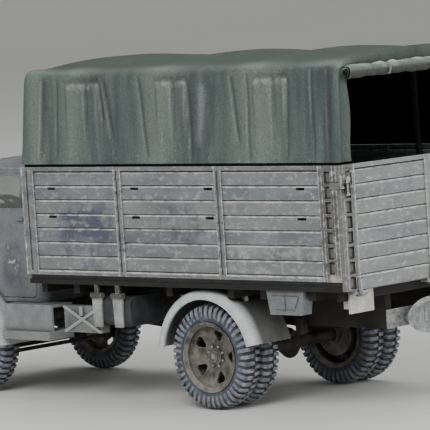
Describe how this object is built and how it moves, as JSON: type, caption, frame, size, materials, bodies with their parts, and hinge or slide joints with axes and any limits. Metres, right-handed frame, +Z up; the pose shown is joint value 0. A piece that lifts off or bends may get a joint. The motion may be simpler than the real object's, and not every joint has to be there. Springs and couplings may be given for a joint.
{
  "type": "scale model of a covered military cargo truck",
  "caption": "Plastic scale model of a mid-century army cargo lorry with boarded bed, arched canvas cover, twin rear tyres, short-nosed cab and hinged tailgate.",
  "frame": {"origin": "ground level, below the middle of the overall length and width", "axes": "+X towards the front, +Y towards the left side, +Z up"},
  "size_m": [0.1741, 0.0656, 0.0883],
  "materials": {
    "frame_black": "dusty black-brown paint",
    "bed_grey": "weathered grey paint",
    "fender_grey": "light grey paint with dust",
    "cab_grey": "weathered grey paint",
    "canvas_green": "olive green, matt",
    "tyre": "dusty black rubber",
    "wheel_dust": "dusty grey paint",
    "steel_dark": "dark grey paint",
    "glass": "clear",
    "seat": "brown paint",
    "plate": "pale paint",
    "coupling_light": "pale grey paint"
  },
  "bodies": {
    "chassis": {"frame_rails": "frame_black", "rear_axle": "frame_black", "front_axle_beam": "frame_black", "front_springs": "frame_black", "rear_springs": "frame_black", "engine": "steel_dark", "propeller_shaft": "frame_black", "bed_bearers": "frame_black", "bed_floor": "bed_grey", "bed_side_left": "bed_grey", "bed_side_right": "bed_grey", "bed_headboard": "bed_grey", "tail_sill": "bed_grey", "tarp": "canvas_green", "tarp_roll": "canvas_green", "tarp_hoops": "steel_dark", "rear_mudguard_left": "fender_grey", "rear_mudguard_right": "fender_grey", "mudguard_straps": "fender_grey", "stowage_bins": "bed_grey", "number_plate": "plate", "trailer_coupling": "coupling_light", "fuel_tank": "steel_dark", "tank_straps": "coupling_light", "cab_roof": "cab_grey", "cab_body": "cab_grey", "cab_cowl": "cab_grey", "windscreen_glass": "glass", "rear_window_glass": "glass", "cab_floor": "cab_grey", "bench_seat": "seat", "steering_wheel": "steel_dark", "dashboard": "steel_dark", "hood": "cab_grey", "grille": "cab_grey", "radiator": "steel_dark", "front_wing_left": "fender_grey", "front_wing_right": "fender_grey", "steps": "fender_grey", "locker": "fender_grey", "bumper": "cab_grey", "headlamps": "cab_grey", "headlamp_lenses": "glass"},
    "knuckle_left": {"knuckle_left": "frame_black"},
    "knuckle_right": {"knuckle_right": "frame_black"},
    "tie_rod": {"tie_rod": "frame_black"},
    "wheel_front_left": {"wheel_front_left": "wheel_dust", "tyre_front_left": "tyre"},
    "wheel_front_right": {"wheel_front_right": "wheel_dust", "tyre_front_right": "tyre"},
    "wheels_rear_left": {"wheels_rear_left": "wheel_dust", "tyres_rear_left": "tyre"},
    "wheels_rear_right": {"wheels_rear_right": "wheel_dust", "tyres_rear_right": "tyre"},
    "tailgate": {"tailgate": "bed_grey"},
    "door_left": {"door_left": "cab_grey", "door_glass_left": "glass"},
    "door_right": {"door_right": "cab_grey", "door_glass_right": "glass"}
  },
  "joints": [
    {"name": "steer_left", "type": "hinge", "parent": "chassis", "child": "knuckle_left", "pos_m": [0.0569, 0.0174, 0.0133], "axis": [0, 0, 1], "range_deg": [-30, 30]},
    {"name": "steer_right", "type": "hinge", "parent": "chassis", "child": "knuckle_right", "pos_m": [0.0569, -0.0174, 0.0133], "axis": [0, 0, 1], "range_deg": [-30, 30]},
    {"name": "tie_rod_end", "type": "hinge", "parent": "knuckle_left", "child": "tie_rod", "pos_m": [0.0503, 0.0174, 0.0104], "axis": [0, 0, 1], "range_deg": [-30, 30]},
    {"name": "spin_front_left", "type": "hinge", "parent": "knuckle_left", "child": "wheel_front_left", "pos_m": [0.0569, 0.023, 0.0133], "axis": [0, 1, 0], "continuous": true},
    {"name": "spin_front_right", "type": "hinge", "parent": "knuckle_right", "child": "wheel_front_right", "pos_m": [0.0569, -0.023, 0.0133], "axis": [0, 1, 0], "continuous": true},
    {"name": "spin_rear_left", "type": "hinge", "parent": "chassis", "child": "wheels_rear_left", "pos_m": [-0.0345, 0.0232, 0.0133], "axis": [0, 1, 0], "continuous": true},
    {"name": "spin_rear_right", "type": "hinge", "parent": "chassis", "child": "wheels_rear_right", "pos_m": [-0.0345, -0.0232, 0.0133], "axis": [0, 1, 0], "continuous": true},
    {"name": "tailgate_hinge", "type": "hinge", "parent": "chassis", "child": "tailgate", "pos_m": [-0.0841, 0, 0.0305], "axis": [0, -1, 0], "range_deg": [0, 160]},
    {"name": "door_hinge_left", "type": "hinge", "parent": "chassis", "child": "door_left", "pos_m": [0.0551, 0.0258, 0.0391], "axis": [0, 0, -1], "range_deg": [0, 65]},
    {"name": "door_hinge_right", "type": "hinge", "parent": "chassis", "child": "door_right", "pos_m": [0.0551, -0.0258, 0.0391], "axis": [0, 0, 1], "range_deg": [0, 65]}
  ],
  "couplings": [
    {"joint": "steer_right", "follows": "steer_left", "ratio": 1},
    {"joint": "tie_rod_end", "follows": "steer_left", "ratio": -1}
  ]
}
